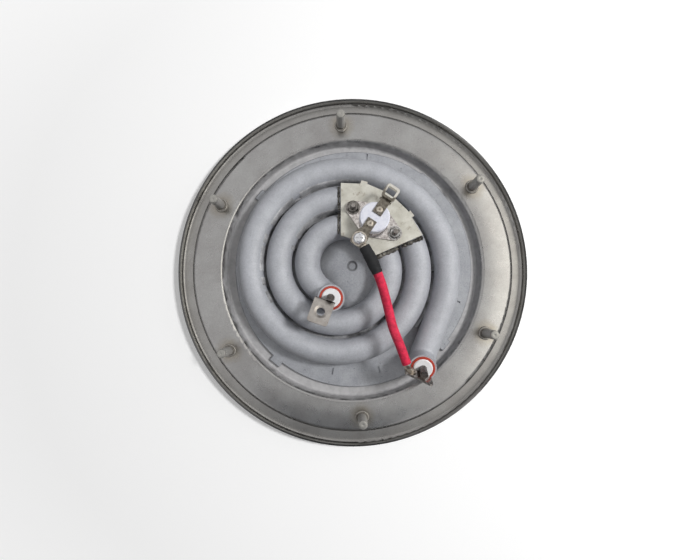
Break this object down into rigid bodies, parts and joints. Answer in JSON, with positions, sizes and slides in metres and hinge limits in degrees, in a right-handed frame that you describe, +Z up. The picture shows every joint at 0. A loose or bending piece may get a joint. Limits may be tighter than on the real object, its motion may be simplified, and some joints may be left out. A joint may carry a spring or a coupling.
{
  "type": "water boiler heating plate",
  "caption": "Round stainless heating plate with threaded studs around the flange, a flat spiral heating tube, a bracket-mounted thermostat and a short lead to the tube's end.",
  "frame": {"origin": "centre of the round plate, in the plane of the lip's underside that it rests on", "axes": "+Z up from the water side to the dry side, along the studs; +X from the centre to the right of the picture; +Y from the centre to its top"},
  "size_m": [0.2, 0.2, 0.0386],
  "materials": {
    "stainless_sheet": "satin",
    "stud_steel": "satin",
    "spreader_aluminium": "matte",
    "tube_aluminium": "matte",
    "magnesia": "matte",
    "resistance_wire": "matte",
    "pin_steel": "satin",
    "red_seal": "satin",
    "white_ceramic": "matte",
    "blade_steel": "satin",
    "bracket_metal": "matte",
    "braze_filler": "matte",
    "zinc_steel": "satin",
    "polished_steel": "polished",
    "terminal_metal": "satin",
    "spring_bronze": "satin",
    "black_sleeve": "satin",
    "red_silicone": "satin",
    "copper_strand": "satin"
  },
  "bodies": {
    "root": {"base_plate": "stainless_sheet", "spreader_plate": "spreader_aluminium", "heating_tube": "tube_aluminium", "magnesia_filling": "magnesia", "resistance_coil": "resistance_wire", "inner_terminal_pin": "pin_steel", "outer_terminal_pin": "pin_steel", "inner_seal_ring": "red_seal", "outer_seal_ring": "red_seal", "inner_ceramic_bush": "white_ceramic", "outer_ceramic_bush": "white_ceramic", "inner_blade": "blade_steel", "outer_blade": "blade_steel", "thermostat_bracket": "bracket_metal", "inner_braze_seam": "braze_filler", "outer_braze_seam": "braze_filler", "bracket_screw_right": "zinc_steel", "bracket_screw_left": "zinc_steel", "bracket_nut_right": "zinc_steel", "bracket_nut_left": "zinc_steel", "thermostat_flange": "polished_steel", "thermostat_cup": "polished_steel", "thermostat_body": "white_ceramic", "guide_plate": "white_ceramic", "bimetal_disc": "spring_bronze", "push_pin": "white_ceramic", "contact_spring": "spring_bronze", "upper_rivet": "terminal_metal", "lower_rivet": "terminal_metal", "upper_terminal": "terminal_metal", "lower_terminal": "terminal_metal", "clamp_screw": "zinc_steel", "clamp_nut": "zinc_steel", "ring_terminal": "terminal_metal", "crimp_terminal": "terminal_metal", "crimp_rivet": "zinc_steel", "shrink_sleeve": "black_sleeve", "lead_insulation": "red_silicone", "lead_conductor": "copper_strand", "weld_stud_1": "stud_steel", "weld_stud_2": "stud_steel", "weld_stud_3": "stud_steel", "weld_stud_4": "stud_steel", "weld_stud_5": "stud_steel", "weld_stud_6": "stud_steel"}
  },
  "joints": []
}
